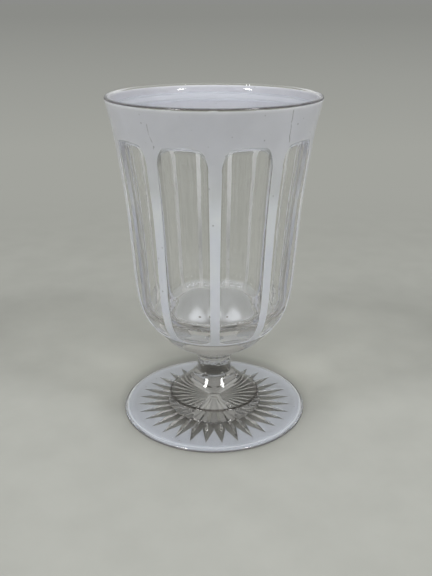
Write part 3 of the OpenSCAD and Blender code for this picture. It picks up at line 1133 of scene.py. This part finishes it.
opal = {
    "index": 1.5,
    "roughness": 0.12,
    "glow": 0.4 * mm,  # how far light spreads in the skin
    # by shares of the goblet's height, painted shade and light: darkest under the foot, lightest on the ribs,
    # a highlight under the rim
    "lightAndShadeTones": [
        (0.02, "#ccd0d8"), (0.3, "#eceefa"), (0.65, "#eceffc"), (0.71, "#f1f4fd"),
        (0.77, "#e3e5e9"), (0.9, "#e0e1e8"), (0.986, "#e0e1e8"), (0.991, "#f3f4fa"),
    ],
    "cloudTones": [(0.3, "#f8f8f8"), (0.7, "#ffffff")],
    "grains": {"clouds": (9 * mm, 3), "pits": (6 * mm, 1), "breaks": (1.5 * mm, 1), "wander": (5 * mm, 2)},
    "backTone": "#ecedee",
    "backFrom": (8 * mm, 16 * mm),
    "backLow": 30 * mm,
    "backShadeFrom": 100 * mm,  # the ribs at the back are thinner, and carry painted shade from here down
    "backShadeTo": 65 * mm,
    "backShade": 0.1,
    "footShadeOut": (36 * mm, 34.5 * mm),  # painted shade under the foot, inside a lighter outer ring
    "footShadeUp": (3 * mm, 2 * mm),
    "footShade": 0.1,
    "markTone": "#5f5e5c",
    "pitApart": 3.2 * mm,
    "pitReach": (0.13, 0.08),  # of the distance between two pits
    "pitShare": (0.45, 0.55),
    "pitDark": 0.45,
    # hairlines at the band: place across at their top end, lean, the two heights and the width
    "cracks": [
        (-23.2 * mm, 0.26, 119 * mm, 128.6 * mm, 0.13 * mm),
        (27.3 * mm, -0.1, 120.7 * mm, 132.5 * mm, 0.16 * mm),
    ],
    "crackWander": 1.5 * mm,
    "crackShare": (0.4, 0.5),
    "crackEnds": 0.25 * mm,
    "crackDark": 0.6,
}


def opalMarks(tree, place, x, y, z, grains):  # pits and hairlines in the skin
    cells = addNode(tree, "ShaderNodeTexVoronoi", {"Vector": place, "Scale": 1 / opal["pitApart"]})
    pits = every(
        tree,
        rise(tree, cells.outputs["Distance"], *opal["pitReach"]),
        rise(tree, grains["pits"], *opal["pitShare"]),
        opal["pitDark"],
    )
    marks = [pits]
    broken = every(tree, rise(tree, y, 0.0, -mm), rise(tree, grains["breaks"], *opal["crackShare"]))
    ends = opal["crackEnds"]
    for start, lean, low, high, width in opal["cracks"]:
        away = addNode(tree, "ShaderNodeMath", {0: x, 1: start + high * lean}, operation="SUBTRACT")
        for kind, inputs in (  # how far aside of the leaning and wandering line a place is
            ("ADD", {1: every(tree, z, lean)}),
            ("ADD", {1: every(tree, grains["wander"], opal["crackWander"])}),
            ("SUBTRACT", {1: opal["crackWander"] / 2}),
            ("ABSOLUTE", {}),
        ):
            away = addNode(tree, "ShaderNodeMath", {0: away.outputs[0], **inputs}, operation=kind)
        line = rise(tree, away.outputs[0], width, width / 2)
        length = band(tree, z, low + ends, high - ends, ends)
        marks.append(every(tree, line, length, broken, opal["crackDark"]))
    return largest(tree, *marks)


def opalGlass():  # milky glass, thin enough for light to pass: bluish white, with a polished skin and painted shade by height
    material, tree = newMaterial("opalGlass")
    place, out, x, y, z = placeOn(tree)
    grains = {}
    for name, (across, detail) in opal["grains"].items():
        inputs = {"Vector": place, "Scale": 1 / across, "Detail": detail}
        grains[name] = addNode(tree, "ShaderNodeTexNoise", inputs).outputs["Fac"]
    clouds = setStops(addNode(tree, "ShaderNodeValToRGB", {"Fac": grains["clouds"]}), opal["cloudTones"])
    # painted shade and light by height
    high = rise(tree, z, 0.0, size["rimTop"])
    skin = setStops(addNode(tree, "ShaderNodeValToRGB", {"Fac": high}), opal["lightAndShadeTones"])
    tinted = addNode(tree, "ShaderNodeVectorMath", {0: clouds, 1: skin}, operation="MULTIPLY")
    back = every(tree, rise(tree, y, *opal["backFrom"]), band(tree, z, opal["backLow"], cutHigh, 2 * mm))
    neutral = addNode(
        tree,
        "ShaderNodeMix",
        {0: back, 6: tinted.outputs[0], 7: (*toLinear(opal["backTone"]), 1)},
        data_type="RGBA",
    )
    # painted shade on the back ribs, lower down
    backShading = every(tree, back, rise(tree, z, opal["backShadeFrom"], opal["backShadeTo"]), opal["backShade"])
    # painted shade under the foot, inside its outer ring
    inner = every(
        tree, rise(tree, out, *opal["footShadeOut"]), rise(tree, z, *opal["footShadeUp"]), opal["footShade"]
    )
    weight = addNode(tree, "ShaderNodeMath", {0: 1.0, 1: largest(tree, backShading, inner)}, operation="SUBTRACT")
    shaded = addNode(
        tree, "ShaderNodeVectorMath", {0: neutral.outputs[2], 1: weight.outputs[0]}, operation="MULTIPLY"
    )
    marks = opalMarks(tree, place, x, y, z, grains)
    colour = addNode(
        tree,
        "ShaderNodeMix",
        {0: marks, 6: shaded.outputs[0], 7: (*toLinear(opal["markTone"]), 1)},
        data_type="RGBA",
    )
    milk = addNode(
        tree,
        "ShaderNodeBsdfPrincipled",
        {
            "Base Color": colour.outputs[2],
            "Roughness": opal["roughness"],
            "IOR": opal["index"],
            "Subsurface Weight": 1.0,
            "Subsurface Radius": (1.0, 1.0, 1.0),
            "Subsurface Scale": opal["glow"],
        },
    )
    addNode(tree, "ShaderNodeOutputMaterial", {"Surface": milk.outputs["BSDF"]})
    return material


def makeGoblet():
    milky = opalGlass()
    clear = clearCrystal()
    fluteTools = [makeFluteTool(*flutes["front"]), makeFluteTool(*flutes["back"])]
    starTool = makeStarTool()
    hollowTool = makeHollowTool()
    print("flutes and star ready to cut")
    body = makeClearGlass(fluteTools, starTool, hollowTool)
    print("clear glass spun and cut")
    skin = makeBowlOpal(fluteTools)
    sole = makeFootOpal(starTool, hollowTool)
    print("opal spun and cut")
    throwAway(*fluteTools, starTool, hollowTool)
    finishPiece(body, clear, ["bowl", "collar", "stem", "foot_pad", "foot"])
    finishPiece(skin, milky, ["bowl_casing"])
    finishPiece(sole, milky, ["foot_casing"])


makeGoblet()
